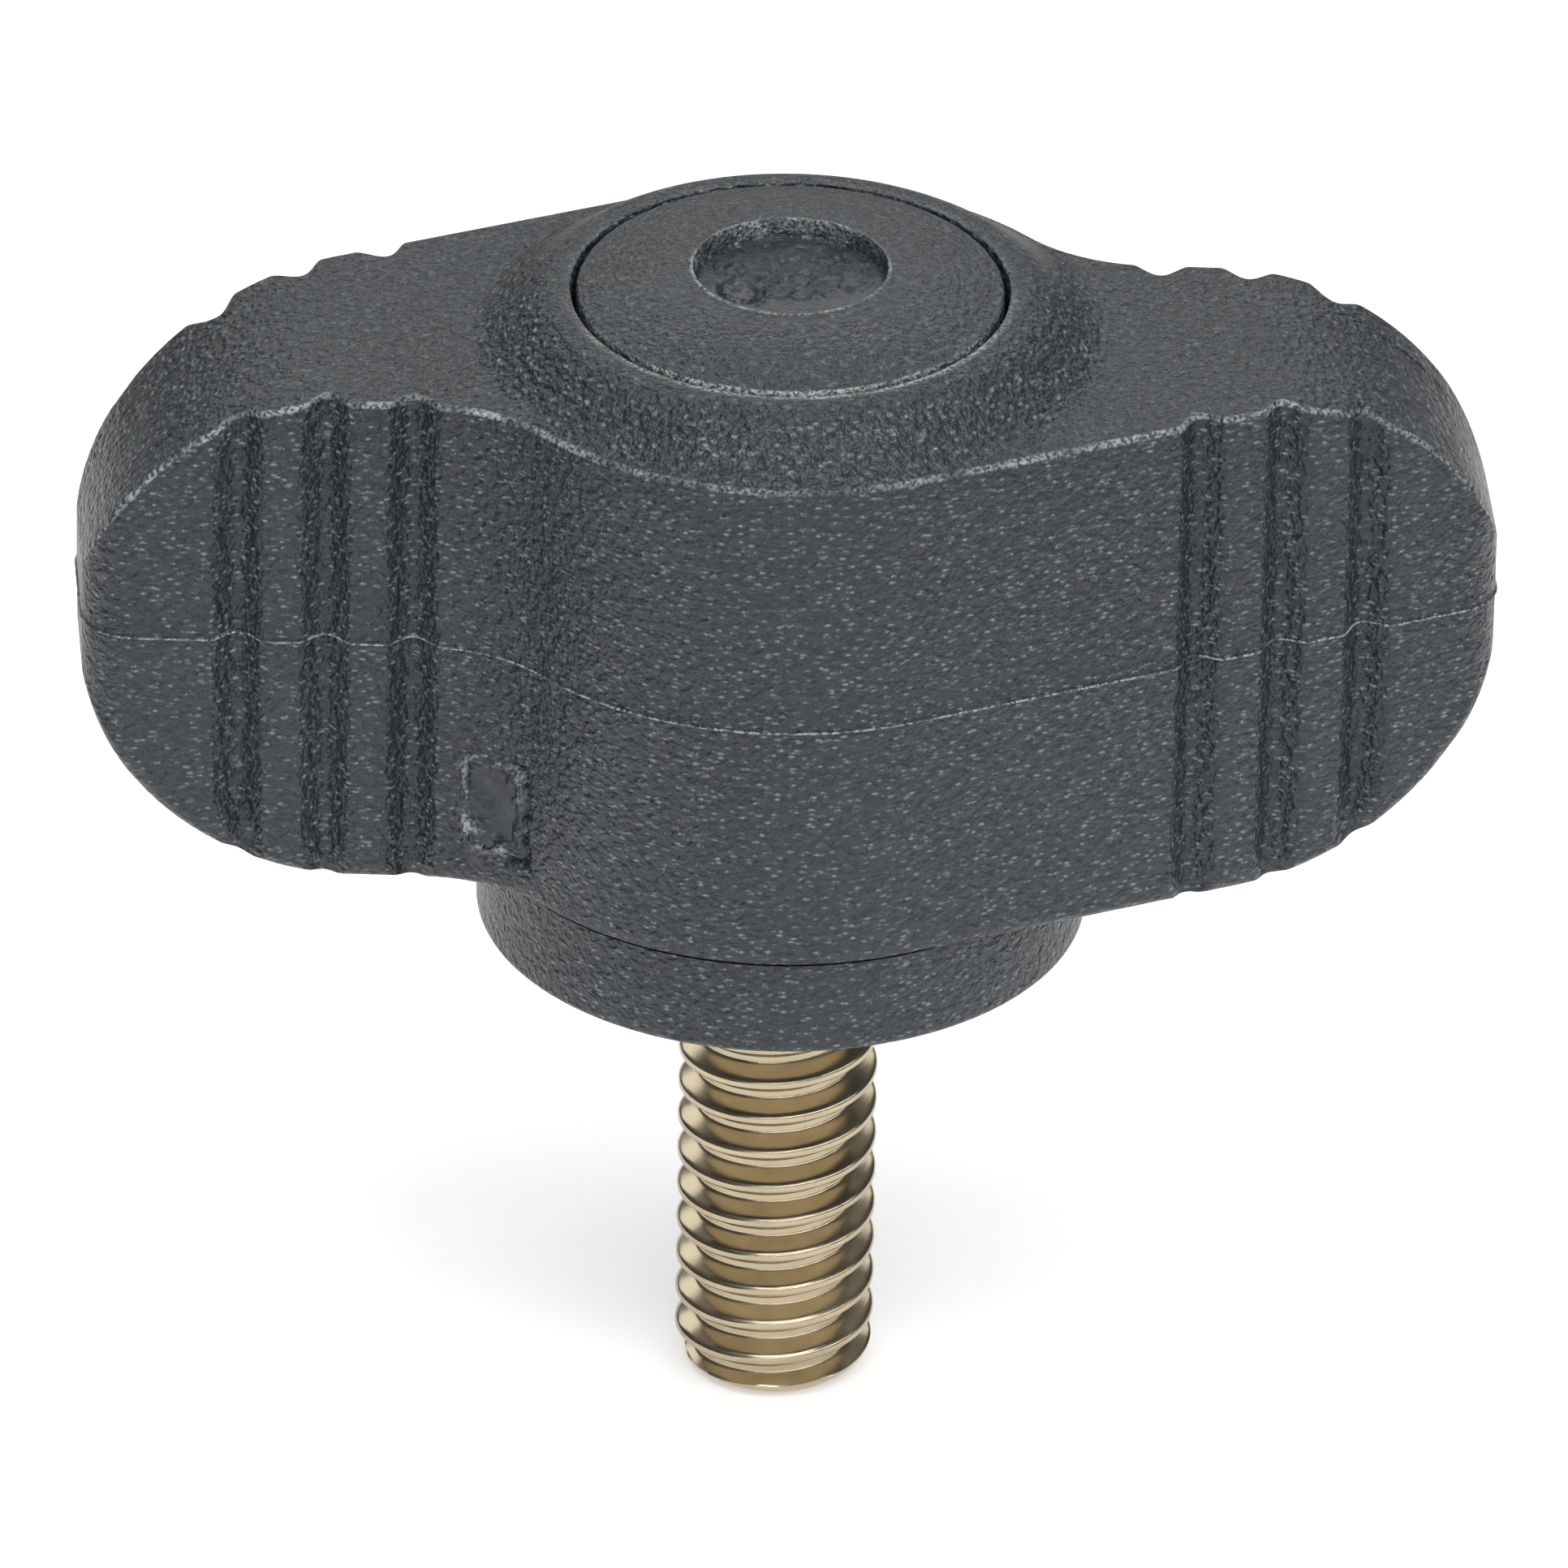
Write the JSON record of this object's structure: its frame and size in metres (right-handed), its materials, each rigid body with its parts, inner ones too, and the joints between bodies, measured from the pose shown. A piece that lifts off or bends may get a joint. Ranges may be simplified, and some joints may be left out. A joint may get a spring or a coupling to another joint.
{
  "type": "wing knob screw",
  "caption": "Moulded two-wing hand knob with grooved grip faces, a raised collar round a press-in cap, a round boss below and a male threaded steel stud.",
  "frame": {"origin": "centre of the flat seat under the boss, on the stud's axis", "axes": "+Z along the stud's axis towards the cap, +X along the wings"},
  "size_m": [0.0442, 0.02, 0.0395],
  "materials": {
    "knob_plastic": "fine moulded orange-peel texture, satin",
    "cap_plastic": "finer moulded texture, satin",
    "stud_steel": "bright rolled thread, stainless"
  },
  "bodies": {
    "knob": {"wing_body": "knob_plastic", "threaded_stud": "stud_steel"},
    "cap": {"cover_cap": "cap_plastic"}
  },
  "joints": [
    {"name": "cap_pull", "type": "slide", "parent": "knob", "child": "cap", "axis": [0, 0, 1], "range_m": [0, 0.008]}
  ]
}
